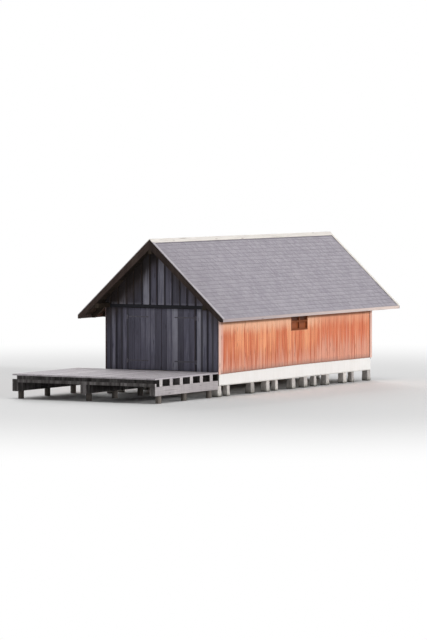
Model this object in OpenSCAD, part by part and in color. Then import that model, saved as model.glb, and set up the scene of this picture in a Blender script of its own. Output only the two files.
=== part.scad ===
// Boathouse: a boarded timber house on short piers in the water, with a gabled roof and a low deck
// in front of its doors. The front gable faces -Y, and z = 0 is the water line.

/* [House] */
// Width across the gable, over the wall boards
house_w = 4600; // [3600:50:6000]
// Length of the side walls
house_l = 11440; // [8000:10:16000]
// Thickness of the wall boards
board_t = 25; // [18:1:40]
// Height of the floor and of the deck above the water
floor_z = 870; // [750:10:1200]
// Height of the top of the wall plates above the water
plate_top = 3220; // [2800:10:3600]
// Width of the square frame timbers
post_w = 160; // [120:5:200]
// Number of bays between the wall posts, an odd number so that one is in the middle
bays = 5; // [3:2:7]

/* [Plinth and piers] */
// Height of the piers
pier_h = 390; // [250:10:500]
// Width of a pier at its top
pier_w = 240; // [180:10:300]
// Height of the top of the side plinth above the water
plinth_top = 880; // [840:10:1000]
// Width of the plinth beams
plinth_w = 240; // [200:10:300]
// Lower edge of the side boards at the front corner
foot_front = 790; // [720:10:830]
// Lower edge of the side boards in the back half
foot_back = 855; // [800:5:870]
// How far the boards of the back gable reach down over the end plinth
foot_lap = 30; // [10:5:60]

/* [Roof] */
// Slope of the roof in degrees
roof_pitch = 42.5; // [35:0.5:50]
// Thickness of the boarding and covering
roof_t = 50; // [40:5:90]
// Depth of a rafter
rafter_d = 140; // [110:5:200]
// Width of a rafter
rafter_w = 100; // [70:5:140]
// Length of the level seat that a rafter has on the wall plate
rafter_seat = 80; // [50:5:110]
// Overhang of the eaves beyond the side walls
eave_out = 660; // [400:10:900]
// Overhang of the roof beyond the front gable
verge_front = 830; // [400:10:1200]
// Overhang of the roof beyond the back gable
verge_back = 1000; // [400:10:1200]
// Depth of the verge boards, square to the slope
verge_d = 240; // [160:10:300]
// Thickness of the verge and eave boards
trim_t = 35; // [25:5:50]
// Height of the eave boards
eave_h = 110; // [90:5:160]
// Width of one side of the ridge cap
cap_w = 165; // [120:5:260]
// Thickness of the ridge cap and of the light strips along the verges
cap_t = 22; // [12:1:30]
// Width of the ridge beam
ridge_w = 140; // [100:10:180]
// Height of the ridge beam
ridge_h = 220; // [160:10:280]

/* [Doors] */
// Width of the clear doorway between its posts
door_w = 2540; // [1800:20:2900]
// How far a door leaf laps over the post beside it
door_lap = 80; // [60:5:100]
// Thickness of the boards of a door leaf
leaf_t = 28; // [22:1:40]
// Thickness of the ledges and braces on the back of a leaf
ledge_t = 35; // [25:1:50]
// Length of a hinge strap
strap_l = 820; // [500:10:1000]
// Radius of a hinge pin
pin_r = 8; // [6:0.5:12]
// Height of the dark head board over the doors
head_h = 120; // [60:5:140]
// Thickness of the head board
head_t = 25; // [18:1:30]

/* [Windows] */
// Width of the opening for the side window
window_w = 1240; // [800:20:1500]
// Height of the opening for the side window
window_h = 650; // [500:10:800]
// Height of the window sill above the water
window_z = 2110; // [1900:10:2200]
// How far the windows sit behind the middle of the side walls
window_off = 140; // [0:10:250]
// Width of the bars of the window frame
sash_w = 60; // [40:5:80]

/* [Deck] */
// Depth of the deck in front of the gable
deck_depth = 4275; // [3000:25:5500]
// How far the deck reaches past the left wall
deck_side = 1180; // [0:20:2000]
// Thickness of the deck boards
deck_t = 50; // [35:5:65]
// Height of the deck joists
joist_h = 240; // [180:10:260]
// Width of the deck joists
joist_w = 200; // [140:10:240]
// Height of the deck beams
beam_h = 310; // [200:10:320]
// Width of the deck beams
beam_w = 220; // [160:10:260]
// Number of deck joists
deck_joist_count = 6; // [4:1:8]
// Height of the thin rail along the front edge
rail_h = 110; // [80:5:160]

/* [Hidden] */

// Walls: half widths of the outer face and of the frame behind the boards
half_w = house_w / 2;
frame_x = half_w - board_t;
frame_in = frame_x - post_w;
plinth_in = frame_x - plinth_w;
frame_y0 = board_t;
frame_y1 = house_l - board_t;

// Places of the piers along a side, as shares of the length between the end piers
pier_places = [0, 0.06, 0.21, 0.31, 0.37, 0.48, 0.56, 0.63, 0.71, 0.83, 0.89, 1];
pier_batter = 1.12;
pier_uneven = 50;
cross_rows = 4;

// Floor: the joists lie on three long bearers, and the boards on the joists
floor_t = 30;
floor_joist_h = 160;
floor_joist_w = 100;
floor_joist_count = 15;
bearer_w = 120;
end_plinth_top = floor_z - floor_t;
joist_z = end_plinth_top - floor_joist_h;
back_foot = min(foot_back, end_plinth_top - foot_lap);

// Frame timbers
plate_z = plate_top - post_w;
bay_l = (frame_y1 - frame_y0 - post_w) / bays;
mid_bay = (bays - 1) / 2;
rail_t = 80;
rail_deep = 100;
brace_w = 90;
brace_reach = 620;
brace_in = 20;
corner_w = 150;
corner_t = 22;
cut_over = 1;

// Roof planes, all as heights over the middle line
slope = tan(roof_pitch);
upright = 1 / cos(roof_pitch);
roof_v = roof_t * upright;
rafter_v = rafter_d * upright;
apex_z = plate_top + (frame_x - rafter_seat) * slope + roof_v + rafter_v;
eave_x = half_w + eave_out;
roof_y0 = -verge_front;
roof_y1 = house_l + verge_back;
ridge_bite = 40;
seat_gap = 0.3;
ridge_top = apex_z - roof_v - rafter_v - ridge_w / 2 * slope + ridge_bite;
rafters_a_bay = 3;
strip_w = 130;
cap_gap = 1;

// Doors: a leaf laps the posts beside it, hangs under the head board and swings in front of the wall
gap = 8;
leaf_gap = 7;
swing_gap = 5;
upper_lap = 40;
leaf_y = board_t - leaf_gap - leaf_t;
leaf_x = door_w / 2 + door_lap;
leaf_clear = 15;
head_clear = 10;
leaf_z0 = floor_z + leaf_clear;
line_z = plate_top - upper_lap;
leaf_z1 = line_z - head_h - head_clear;
strap_t = 6;
barrel_r = pin_r + strap_t;
hinge_x = leaf_x + strap_t;
hinge_y = leaf_y - barrel_r;
pin_gap = 0.6;
strap_h = 45;
lug_w = 12;
lug_h = 24;
hinge_plate_w = 70;
hinge_plate_over = 40;
strap_from_foot = 320;
strap_from_head = 300;
strap_zs = [leaf_z0 + strap_from_foot, leaf_z1 - strap_from_head];
ledge_h = 140;
ledge_from_middle = 40;
ledge_from_post = 30;
upper_out = 30;

// Windows
window_y = house_l / 2 + window_off;
glass_t = 6;
glass_in = 14;
sash_t = 50;

// Deck
deck_x0 = -half_w - deck_side;
deck_x1 = half_w;
deck_joist_z = floor_z - deck_t - joist_h;
beam_z = deck_joist_z - beam_h;
deck_rail_t = 80;
first_joist = 390;
last_joist = 480;
deck_post_w = 200;

// The origin is under the middle of the whole boathouse
mid_x = (min(deck_x0, -eave_x) + eave_x) / 2;
mid_y = (roof_y1 - deck_depth) / 2;

// Heights of the roof planes at a distance from the middle line
function roof_top(x) = apex_z - x * slope;
function roof_under(x) = roof_top(x) - roof_v;
function rafter_under(x) = roof_under(x) - rafter_v;
function frame_y(i) = frame_y0 + i * bay_l;

module place() { translate([-mid_x, -mid_y, 0]) children(); }
module block(from, to) { translate(from) cube(to - from); }
module both_sides() {
    children();
    mirror([1, 0, 0]) children();
}
// A profile drawn in x and z, carried from y0 to y1
module along_y(y0, y1) {
    translate([0, y1, 0]) rotate([90, 0, 0]) linear_extrude(y1 - y0) children();
}
// A profile drawn in y and z, carried from x0 to x1
module along_x(x0, x1) {
    translate([x0, 0, 0]) rotate([90, 0, 90]) linear_extrude(x1 - x0) children();
}

// Piers: battered blocks, a little uneven in width
module pier(x, y, w, h) {
    translate([x, y, 0]) linear_extrude(h, scale = 1 / pier_batter)
        square(w * pier_batter, center = true);
}
module pier_row() {
    x = frame_x - plinth_w / 2;
    y0 = frame_y0 + plinth_w / 2;
    run = frame_y1 - frame_y0 - plinth_w;
    for (i = [0 : len(pier_places) - 1]) {
        w = i % 3 == 1 ? pier_w - pier_uneven : pier_w;
        pier(x, y0 + pier_places[i] * run, w, pier_h);
    }
}
module right_piers() { color("#b9b4b2") place() pier_row(); }
module left_piers() { color("#b9b4b2") place() mirror([1, 0, 0]) pier_row(); }
module cross_piers() {
    y0 = frame_y0 + plinth_w / 2;
    step = (frame_y1 - frame_y0 - plinth_w) / (cross_rows - 1);
    color("#a09b99") place() for (i = [0 : cross_rows - 1]) {
        under_plinth = i == 0 || i == cross_rows - 1;
        pier(0, y0 + i * step, pier_w, under_plinth ? pier_h : joist_z - bearer_w);
    }
}

// Plinth beams
module side_plinth() {
    block([plinth_in, frame_y0, pier_h], [frame_x, frame_y1, plinth_top]);
}
module right_plinth() { color("#f4f2ef") place() side_plinth(); }
module left_plinth() { color("#f4f2ef") place() mirror([1, 0, 0]) side_plinth(); }
module end_plinths() {
    color("#f4f2ef") place() {
        block([-plinth_in, frame_y0, pier_h], [plinth_in, frame_y0 + plinth_w, end_plinth_top]);
        block([-plinth_in, frame_y1 - plinth_w, pier_h], [plinth_in, frame_y1, end_plinth_top]);
    }
}

// Floor
module floor_bearers() {
    y0 = frame_y0 + plinth_w;
    y1 = frame_y1 - plinth_w;
    color("#7d6a58") place() {
        both_sides() block([plinth_in - bearer_w, y0, joist_z - bearer_w], [plinth_in, y1, joist_z]);
        block([-bearer_w / 2, y0, joist_z - bearer_w], [bearer_w / 2, y1, joist_z]);
    }
}
module floor_joists() {
    y0 = frame_y0 + plinth_w + floor_joist_w / 2;
    y1 = frame_y1 - plinth_w - floor_joist_w / 2;
    step = (y1 - y0) / (floor_joist_count - 1);
    color("#8a7562") place() for (i = [0 : floor_joist_count - 1]) {
        y = y0 + i * step - floor_joist_w / 2;
        block([-plinth_in, y, joist_z], [plinth_in, y + floor_joist_w, end_plinth_top]);
    }
}
module floor_boards() {
    color("#a08a72") place() {
        block([-plinth_in, frame_y0 + post_w, end_plinth_top], [plinth_in, frame_y1 - post_w, floor_z]);
        block([-door_w / 2, 0, end_plinth_top], [door_w / 2, frame_y0 + post_w, floor_z]);
    }
}

// Timber frame
module wall_posts() {
    color("#8f7458") place() both_sides() for (i = [0 : bays])
        block([frame_in, frame_y(i), plinth_top], [frame_x, frame_y(i) + post_w, plate_z]);
}
module gable_posts() {
    color("#8f7458") place() both_sides() {
        block([door_w / 2, frame_y0, end_plinth_top], [door_w / 2 + post_w, frame_y0 + post_w, plate_z]);
        block([door_w / 2, frame_y1 - post_w, end_plinth_top], [door_w / 2 + post_w, frame_y1, plate_z]);
    }
}
module side_rail(i, z) {
    block([frame_x - rail_t, frame_y(i) + post_w, z], [frame_x, frame_y(i + 1), z + rail_deep]);
}
module wall_rails() {
    z = window_z - rail_deep;
    color("#9a7d60") place() both_sides() {
        for (i = [0 : bays - 1]) side_rail(i, z);
        side_rail(mid_bay, window_z + window_h);
        for (y = [frame_y0, frame_y1 - rail_t])
            block([door_w / 2 + post_w, y, z], [frame_in, y + rail_t, z + rail_deep]);
    }
}
module knee_brace(y, side) {
    x = frame_in + brace_in;
    low = plate_z - brace_reach;
    across = brace_w * sqrt(2);
    translate([0, y, 0]) along_x(x, x + brace_w) scale([side, 1])
        polygon([[0, low], [brace_reach, plate_z], [brace_reach - across, plate_z], [0, low + across]]);
}
module wall_braces() {
    color("#9a7d60") place() both_sides() for (i = [0 : bays - 1]) if (i != mid_bay) {
        knee_brace(frame_y(i) + post_w, 1);
        knee_brace(frame_y(i + 1), -1);
    }
}
module plate_profile() {
    translate([frame_in, plate_z]) square([post_w, post_w]);
}
module ridge_profile() {
    translate([-ridge_w / 2, ridge_top - ridge_h]) square([ridge_w, ridge_h]);
}
module wall_plates() {
    color("#84694f") place() both_sides() along_y(roof_y0 + trim_t, roof_y1 - trim_t) plate_profile();
}
module tie_beams() {
    color("#84694f") place() for (i = [0 : bays])
        block([-frame_in, frame_y(i), plate_z], [frame_in, frame_y(i) + post_w, plate_top]);
}
module king_posts() {
    color("#8f7458") place() for (i = [0 : bays])
        block([-ridge_w / 2, frame_y(i), plate_top], [ridge_w / 2, frame_y(i) + post_w, ridge_top - ridge_h]);
}
module ridge_beam() {
    color("#84694f") place() along_y(roof_y0 + trim_t, roof_y1 - trim_t) ridge_profile();
}

// Boarded walls. The side boards hang lower over the plinth towards the front corner.
module side_wall() {
    top = rafter_under(half_w);
    difference() {
        along_x(frame_x, half_w)
            polygon([[0, foot_front], [house_l / 2, foot_back], [house_l, foot_back],
                [house_l, top], [0, top]]);
        block([frame_x - cut_over, window_y - window_w / 2, window_z],
            [half_w + cut_over, window_y + window_w / 2, window_z + window_h]);
    }
}
module right_wall() { color("#cf7d55") place() side_wall(); }
module left_wall() { color("#a8694a") place() mirror([1, 0, 0]) side_wall(); }
// The boards end under the wall plates, which run through to the verges
module end_boards(x0, x1, z0) {
    difference() {
        translate([x0, z0]) square([x1 - x0, line_z - z0]);
        plate_profile();
        mirror([1, 0]) plate_profile();
    }
}
module front_wall() {
    color("#4b4a55") place() both_sides() along_y(0, board_t) end_boards(leaf_x + gap, frame_x, foot_front);
}
module back_wall() {
    color("#4b4a55") place() along_y(house_l - board_t, house_l) end_boards(-frame_x, frame_x, back_foot);
}
// The upper boards stand out from the lower ones and are cut round the plates and the ridge beam
module gable_skin() {
    difference() {
        polygon([[-half_w, line_z], [half_w, line_z], [half_w, roof_under(half_w) - seat_gap],
            [0, roof_under(0) - seat_gap], [-half_w, roof_under(half_w) - seat_gap]]);
        for (turn = [0, 1]) mirror([turn, 0])
            translate([frame_in, plate_z]) square([half_w - frame_in + cut_over, post_w]);
        ridge_profile();
    }
}
module front_gable() { color("#4b4a55") place() along_y(-upper_out, board_t) gable_skin(); }
module back_gable() {
    color("#4b4a55") place() along_y(house_l - board_t, house_l + upper_out) gable_skin();
}
// A dark head board under the upper boards, above the door leaves
module head_board() {
    color("#2d2823") place() block([-frame_in, -head_t, line_z - head_h], [frame_in, 0, line_z]);
}
module corner_boards() {
    top = rafter_under(half_w + corner_t);
    color("#d9a184") place() both_sides() {
        block([half_w, 0, foot_front], [half_w + corner_t, corner_w, top]);
        block([half_w, house_l - corner_w, foot_back], [half_w + corner_t, house_l, top]);
    }
}

// Windows: a frame with a cross bar and an upright, and a sheet of glass behind the bars
module window_frame() {
    y0 = window_y - window_w / 2;
    z0 = window_z;
    difference() {
        block([half_w - sash_t, y0, z0], [half_w, y0 + window_w, z0 + window_h]);
        for (i = [0, 1], j = [0, 1]) {
            pane_w = (window_w - 3 * sash_w) / 2;
            pane_h = (window_h - 3 * sash_w) / 2;
            y = y0 + sash_w + i * (pane_w + sash_w);
            z = z0 + sash_w + j * (pane_h + sash_w);
            block([half_w - sash_t - cut_over, y, z], [half_w + cut_over, y + pane_w, z + pane_h]);
        }
    }
}
module windows() { color("#6b3f28") place() both_sides() window_frame(); }
module window_glass() {
    y0 = window_y - window_w / 2;
    x1 = half_w - sash_t;
    color("#20262b") place() both_sides()
        block([x1 - glass_t, y0 + glass_in, window_z + glass_in],
            [x1, y0 + window_w - glass_in, window_z + window_h - glass_in]);
}

// Roof
module rafter_profile() {
    tail = eave_x - trim_t;
    foot_z = roof_top(eave_x) - eave_h;
    difference() {
        polygon([[0, roof_under(0)], [tail, roof_under(tail)], [tail, foot_z],
            [(rafter_under(0) - foot_z) / slope, foot_z], [0, rafter_under(0)]]);
        plate_profile();
        ridge_profile();
    }
}
module rafter_row() {
    count = bays * rafters_a_bay;
    for (i = [0 : count]) {
        y = frame_y0 + i * (frame_y1 - frame_y0 - rafter_w) / count;
        along_y(y, y + rafter_w) rafter_profile();
    }
}
module right_rafters() { color("#8f7458") place() rafter_row(); }
module left_rafters() { color("#8f7458") place() mirror([1, 0, 0]) rafter_row(); }
module roof_side() {
    x = eave_x - trim_t;
    along_y(roof_y0 + trim_t, roof_y1 - trim_t)
        polygon([[0, roof_under(0)], [x, roof_under(x)], [x, roof_top(x)], [0, roof_top(0)]]);
}
module right_roof() { color("#a5a0a8") place() roof_side(); }
module left_roof() { color("#a5a0a8") place() mirror([1, 0, 0]) roof_side(); }
// Two ridge boards: the right one runs up past the apex and covers the edge of the left one
module ridge_cap() {
    x = cap_w * cos(roof_pitch);
    v = cap_t * upright;
    lap_x = v / slope / 2;
    color("#ddd2cc") place() along_y(roof_y0, roof_y1) {
        polygon([[x, roof_top(x)], [x, roof_top(x) + v],
            [cap_t * sin(roof_pitch) - lap_x, roof_top(-lap_x) + cap_t * cos(roof_pitch)],
            [-lap_x, roof_top(-lap_x)], [0, roof_top(0)]]);
        polygon([[-x, roof_top(x)], [-x, roof_top(x) + v], [-lap_x - cap_gap, roof_top(lap_x + cap_gap) + v],
            [-cap_gap, roof_top(cap_gap)]]);
    }
}
module verge_profile() {
    v = verge_d * upright;
    polygon([[0, roof_top(0)], [eave_x, roof_top(eave_x)], [eave_x, roof_top(eave_x) - eave_h],
        [eave_x - (v - eave_h) / slope / 2, roof_top(eave_x) - eave_h], [0, roof_top(0) - v],
        [-eave_x + (v - eave_h) / slope / 2, roof_top(eave_x) - eave_h], [-eave_x, roof_top(eave_x) - eave_h],
        [-eave_x, roof_top(eave_x)]]);
}
module verge_boards() {
    color("#4a4133") place() {
        along_y(roof_y0, roof_y0 + trim_t) verge_profile();
        along_y(roof_y1 - trim_t, roof_y1) verge_profile();
    }
}
module verge_strips() {
    v = cap_t * upright;
    x0 = cap_w * cos(roof_pitch);
    color("#b9b2b4") place() both_sides() for (y = [roof_y0, roof_y1 - strip_w])
        along_y(y, y + strip_w)
            polygon([[x0, roof_top(x0)], [eave_x, roof_top(eave_x)], [eave_x, roof_top(eave_x) + v],
                [x0, roof_top(x0) + v]]);
}
module eave_boards() {
    z = roof_top(eave_x);
    color("#b5aead") place() both_sides()
        block([eave_x - trim_t, roof_y0 + trim_t, z - eave_h], [eave_x, roof_y1 - trim_t, z]);
}

// Deck
module deck_boards() {
    color("#b3adb2") place() block([deck_x0, -deck_depth, floor_z - deck_t], [deck_x1, 0, floor_z]);
}
module deck_joists() {
    y0 = -deck_depth + first_joist;
    y1 = -last_joist;
    color("#a09a9c") place() {
        for (i = [0 : deck_joist_count - 1]) {
            y = y0 + i * (y1 - y0) / (deck_joist_count - 1) - joist_w / 2;
            block([deck_x0, y, deck_joist_z], [deck_x1, y + joist_w, floor_z - deck_t]);
        }
        block([deck_x0, -deck_depth, deck_joist_z],
            [deck_x1, -deck_depth + deck_rail_t, deck_joist_z + rail_h]);
    }
}
module deck_beams() {
    color("#b7b2b2") place() for (x = [deck_x0, (deck_x0 + deck_x1 - beam_w) / 2, deck_x1 - beam_w])
        block([x, -deck_depth, beam_z], [x + beam_w, 0, deck_joist_z]);
}
module deck_posts() {
    y0 = -deck_depth + first_joist;
    y1 = -last_joist;
    xs = [deck_x0 + beam_w / 2, (deck_x0 + deck_x1) / 2, deck_x1 - beam_w / 2];
    color("#8d8887") place() for (x = xs, y = [y0, (y0 + y1) / 2, y1])
        translate([x, y, 0]) cylinder(h = beam_z, d = deck_post_w, $fn = 32);
}

// Doors
module door_pin(z) {
    lug_z = z - strap_h / 2 - swing_gap;
    plate_x = hinge_x + barrel_r + swing_gap;
    pin_l = lug_h + strap_h + 3 * swing_gap;
    translate([hinge_x, hinge_y, lug_z - lug_h]) cylinder(h = pin_l, r = pin_r, $fn = 32);
    block([hinge_x, hinge_y - pin_r, lug_z - lug_h], [plate_x + lug_w, 0, lug_z]);
    block([plate_x, -strap_t, lug_z - lug_h - hinge_plate_over],
        [plate_x + hinge_plate_w, 0, z + strap_h / 2 + hinge_plate_over]);
}
module door_pins() {
    color("#3a3634") place() both_sides() for (z = strap_zs) door_pin(z);
}
module door_leaf() {
    block([gap / 2, leaf_y, leaf_z0], [leaf_x, leaf_y + leaf_t, leaf_z1]);
}
module door_ledges() {
    x0 = ledge_from_middle;
    x1 = door_w / 2 - ledge_from_post;
    y0 = leaf_y + leaf_t;
    mid_z = (strap_zs[0] + strap_zs[1]) / 2;
    for (z = [strap_zs[0], mid_z, strap_zs[1]])
        block([x0, y0, z - ledge_h / 2], [x1, y0 + ledge_t, z + ledge_h / 2]);
    along_y(y0, y0 + ledge_t) for (z = [strap_zs[0], mid_z]) {
        low = z + ledge_h / 2;
        high = z + mid_z - strap_zs[0] - ledge_h / 2;
        polygon([[x1 - ledge_h, low], [x1, low], [x0 + ledge_h, high], [x0, high]]);
    }
}
module door_straps() {
    bore_h = strap_h + 2 * cut_over;
    for (z = strap_zs) translate([hinge_x, 0, z - strap_h / 2]) difference() {
        union() {
            block([-strap_l, leaf_y - strap_t, 0], [0, leaf_y, strap_h]);
            translate([0, hinge_y, 0]) cylinder(h = strap_h, r = barrel_r, $fn = 48);
        }
        translate([0, hinge_y, -cut_over]) cylinder(h = bore_h, r = pin_r + pin_gap, $fn = 48);
    }
}
module right_door() { color("#565562") place() door_leaf(); }
module left_door() { color("#565562") place() mirror([1, 0, 0]) door_leaf(); }
module right_ledges() { color("#4d4640") place() door_ledges(); }
module left_ledges() { color("#4d4640") place() mirror([1, 0, 0]) door_ledges(); }
module right_straps() { color("#3a3634") place() door_straps(); }
module left_straps() { color("#3a3634") place() mirror([1, 0, 0]) door_straps(); }

right_piers();
left_piers();
cross_piers();
right_plinth();
left_plinth();
end_plinths();
floor_bearers();
floor_joists();
floor_boards();
wall_posts();
gable_posts();
wall_rails();
wall_braces();
wall_plates();
tie_beams();
king_posts();
ridge_beam();
right_wall();
left_wall();
front_wall();
front_gable();
back_wall();
back_gable();
head_board();
corner_boards();
windows();
window_glass();
right_rafters();
left_rafters();
right_roof();
left_roof();
ridge_cap();
verge_boards();
verge_strips();
eave_boards();
deck_boards();
deck_joists();
deck_beams();
deck_posts();
door_pins();
left_door();
right_door();
left_ledges();
right_ledges();
left_straps();
right_straps();
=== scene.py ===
"""Boathouse: boards, shingles, weathered finishes, studio and camera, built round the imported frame.

X runs across the gable, Y from the deck to the back gable, and z = 0 is the water line.
"""

import math
import random
from functools import partialmethod
from types import SimpleNamespace

import bmesh
import bpy
import numpy as np
from mathutils import Matrix, Vector, noise


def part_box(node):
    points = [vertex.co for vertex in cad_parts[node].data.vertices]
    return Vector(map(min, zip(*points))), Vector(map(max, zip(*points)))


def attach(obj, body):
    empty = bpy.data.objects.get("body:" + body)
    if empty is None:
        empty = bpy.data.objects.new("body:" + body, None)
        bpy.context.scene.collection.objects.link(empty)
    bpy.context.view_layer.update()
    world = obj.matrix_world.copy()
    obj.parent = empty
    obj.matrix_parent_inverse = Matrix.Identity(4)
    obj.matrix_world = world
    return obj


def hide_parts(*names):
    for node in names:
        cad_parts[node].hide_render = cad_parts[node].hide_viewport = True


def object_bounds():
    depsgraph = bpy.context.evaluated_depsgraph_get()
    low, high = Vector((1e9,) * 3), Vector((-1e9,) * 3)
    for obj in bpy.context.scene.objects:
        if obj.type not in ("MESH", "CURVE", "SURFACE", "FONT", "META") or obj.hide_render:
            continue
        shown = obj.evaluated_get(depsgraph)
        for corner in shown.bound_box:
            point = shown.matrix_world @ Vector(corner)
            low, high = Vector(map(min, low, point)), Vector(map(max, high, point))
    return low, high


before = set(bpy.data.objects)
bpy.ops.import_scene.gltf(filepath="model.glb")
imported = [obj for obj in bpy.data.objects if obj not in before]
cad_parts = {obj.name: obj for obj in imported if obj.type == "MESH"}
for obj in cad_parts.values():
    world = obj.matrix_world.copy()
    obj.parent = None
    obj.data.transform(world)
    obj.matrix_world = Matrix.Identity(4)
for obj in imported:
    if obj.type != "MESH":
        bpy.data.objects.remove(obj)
cad_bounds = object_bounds()

# Measures of the frame, in metres. A corner this near to a face is on it
AT_FACE = 0.01
RIGHT_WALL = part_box("right_wall")
LEFT_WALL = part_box("left_wall")
MID_X = (RIGHT_WALL[1].x + LEFT_WALL[0].x) / 2
HALF_W = RIGHT_WALL[1].x - MID_X
WALL_T = RIGHT_WALL[1].x - RIGHT_WALL[0].x
FRONT_Y = RIGHT_WALL[0].y
BACK_Y = RIGHT_WALL[1].y
HOUSE_L = BACK_Y - FRONT_Y
FOOT_FRONT = RIGHT_WALL[0].z
FOOT_BACK = min(v.co.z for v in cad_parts["right_wall"].data.vertices if v.co.y > BACK_Y - AT_FACE)
BACK_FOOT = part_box("back_wall")[0].z
FOOT_RISE = (FOOT_BACK - FOOT_FRONT) / (HOUSE_L / 2)
WALL_TOP = RIGHT_WALL[1].z
PLINTH_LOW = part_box("right_plinth")[0].z
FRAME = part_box("tie_beams")
FRAME_IN = FRAME[1].x - MID_X
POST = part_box("wall_posts")[1].x - FRAME[1].x
PLATE_LOW, PLATE_TOP = (corner.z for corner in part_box("wall_plates"))
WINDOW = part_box("windows")
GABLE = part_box("front_gable")
GABLE_T = GABLE[1].y - GABLE[0].y
GABLE_PROUD = FRONT_Y - GABLE[0].y
LINE_Z = GABLE[0].z
UNDER_ROOF = GABLE[1].z
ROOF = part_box("right_roof")
APEX_Z = ROOF[1].z
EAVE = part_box("eave_boards")
EAVE_Z = EAVE[0].z
EAVE_X = EAVE[1].x - MID_X
SLOPE = (APEX_Z - EAVE[1].z) / EAVE_X
PITCH = math.atan(SLOPE)
ROOF_END_X = ROOF[1].x - MID_X
CAP_W = (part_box("ridge_cap")[1].x - MID_X) / math.cos(PITCH)
ROOF_T = (APEX_Z - SLOPE * ROOF_END_X - ROOF[0].z) * math.cos(PITCH)
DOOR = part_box("right_door")
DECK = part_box("deck_boards")
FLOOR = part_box("floor_boards")


def linear(shade):
    """A colour written as in a paint box, #rrggbb, in the linear values that Blender mixes."""
    parts = [int(shade[i:i + 2], 16) / 255 for i in (1, 3, 5)]
    return tuple(c / 12.92 if c < 0.04045 else ((c + 0.055) / 1.055) ** 2.4 for c in parts) + (1.0,)


# Node trees


class Value:
    """A socket in a node tree that takes ordinary arithmetic."""

    def __init__(self, maker, socket):
        self.maker = maker
        self.socket = socket

    def worked(self, operation, other=0.0):
        return self.maker.math(operation, self, other)

    def __rsub__(self, other):
        return self.maker.math("SUBTRACT", other, self)

    __add__ = __radd__ = partialmethod(worked, "ADD")
    __mul__ = __rmul__ = partialmethod(worked, "MULTIPLY")
    __sub__ = partialmethod(worked, "SUBTRACT")
    __truediv__ = partialmethod(worked, "DIVIDE")
    __abs__ = partialmethod(worked, "ABSOLUTE")


def pick(sockets, key):
    """The enabled socket of that name or place, or the first enabled one."""
    if isinstance(key, int):
        return sockets[key]
    return next(s for s in sockets if s.enabled and (key is None or s.name == key))


class Maker:
    """Adds nodes to one tree and joins them."""

    kind, result = "ShaderNodeTree", "Float"

    def __init__(self, tree):
        self.tree = tree

    def feed(self, socket, value):
        if isinstance(value, Value):
            self.tree.links.new(value.socket, socket)
        else:
            socket.default_value = value

    def add(self, kind, inputs=None, out=None, **settings):
        """A new node's output as a value, or a list of values where several outputs are asked for."""
        node = self.tree.nodes.new(kind)
        for name, value in settings.items():
            setattr(node, name, value)
        for key, value in (inputs or {}).items():
            self.feed(pick(node.inputs, key), value)
        if isinstance(out, tuple):
            return [Value(self, pick(node.outputs, key)) for key in out]
        return Value(self, pick(node.outputs, out))

    def math(self, operation, a, b=0.0):
        return self.add("ShaderNodeMath", {0: a, 1: b}, operation=operation)

    low = partialmethod(math, "MINIMUM")
    high = partialmethod(math, "MAXIMUM")
    over = partialmethod(math, "GREATER_THAN")

    def vector(self, x, y, z):
        return self.add("ShaderNodeCombineXYZ", {"X": x, "Y": y, "Z": z})

    def parts(self, vector):
        return self.add("ShaderNodeSeparateXYZ", {"Vector": vector}, out=(0, 1, 2))

    def scaled(self, vector, by):
        return self.add("ShaderNodeVectorMath", {0: vector, 1: by}, operation="MULTIPLY")

    def spread(self, value, start, end, low=0.0, high=1.0, kind="LINEAR"):
        """Value from start to end becomes low to high, and stays there outside."""
        inputs = {"Value": value, "From Min": start, "From Max": end, "To Min": low, "To Max": high}
        return self.add("ShaderNodeMapRange", inputs, interpolation_type=kind)

    def fade(self, value, start, end, low=0.0, high=1.0):
        """A spread that sets in and ends softly."""
        return self.spread(value, start, end, low, high, "SMOOTHSTEP")

    def noise(self, vector, scale=1.0, detail=3.0, roughness=0.5, distortion=0.0):
        inputs = {"Vector": vector, "Scale": scale, "Detail": detail, "Roughness": roughness,
                  "Distortion": distortion}
        return self.add("ShaderNodeTexNoise", inputs, out=0)

    def blend(self, share, a, b):
        """One colour laid over another by a share. Either may be written as #rrggbb."""
        a, b = (linear(colour) if isinstance(colour, str) else colour for colour in (a, b))
        return self.add("ShaderNodeMix", {0: share, 6: a, 7: b}, out=2, data_type="RGBA")


def titled(name):
    """How a node tree writes the name of a setting."""
    return name.replace("_", " ").title()


def new_tree(maker, title, **inputs):
    """The maker of a new node tree, and its inputs as values. An input is told by its default or its kind."""
    tree = bpy.data.node_groups.new(title, maker.kind)
    for name, told in inputs.items():
        plain = isinstance(told, (float, int))
        socket_type = "NodeSocket" + (type(told).__name__.title() if plain else told)
        socket = tree.interface.new_socket(name=titled(name), in_out="INPUT", socket_type=socket_type)
        if plain:
            socket.default_value = told
    m = maker(tree)
    entry = tree.nodes.new("NodeGroupInput")
    return m, SimpleNamespace(**{name: Value(m, entry.outputs[titled(name)]) for name in inputs})


def close_tree(m, **results):
    for name in results:
        m.tree.interface.new_socket(name=titled(name), in_out="OUTPUT", socket_type="NodeSocket" + m.result)
    end = m.tree.nodes.new("NodeGroupOutput")
    for name, value in results.items():
        m.feed(end.inputs[titled(name)], value)
    return m.tree


# Shared effects of the finishes


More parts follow.
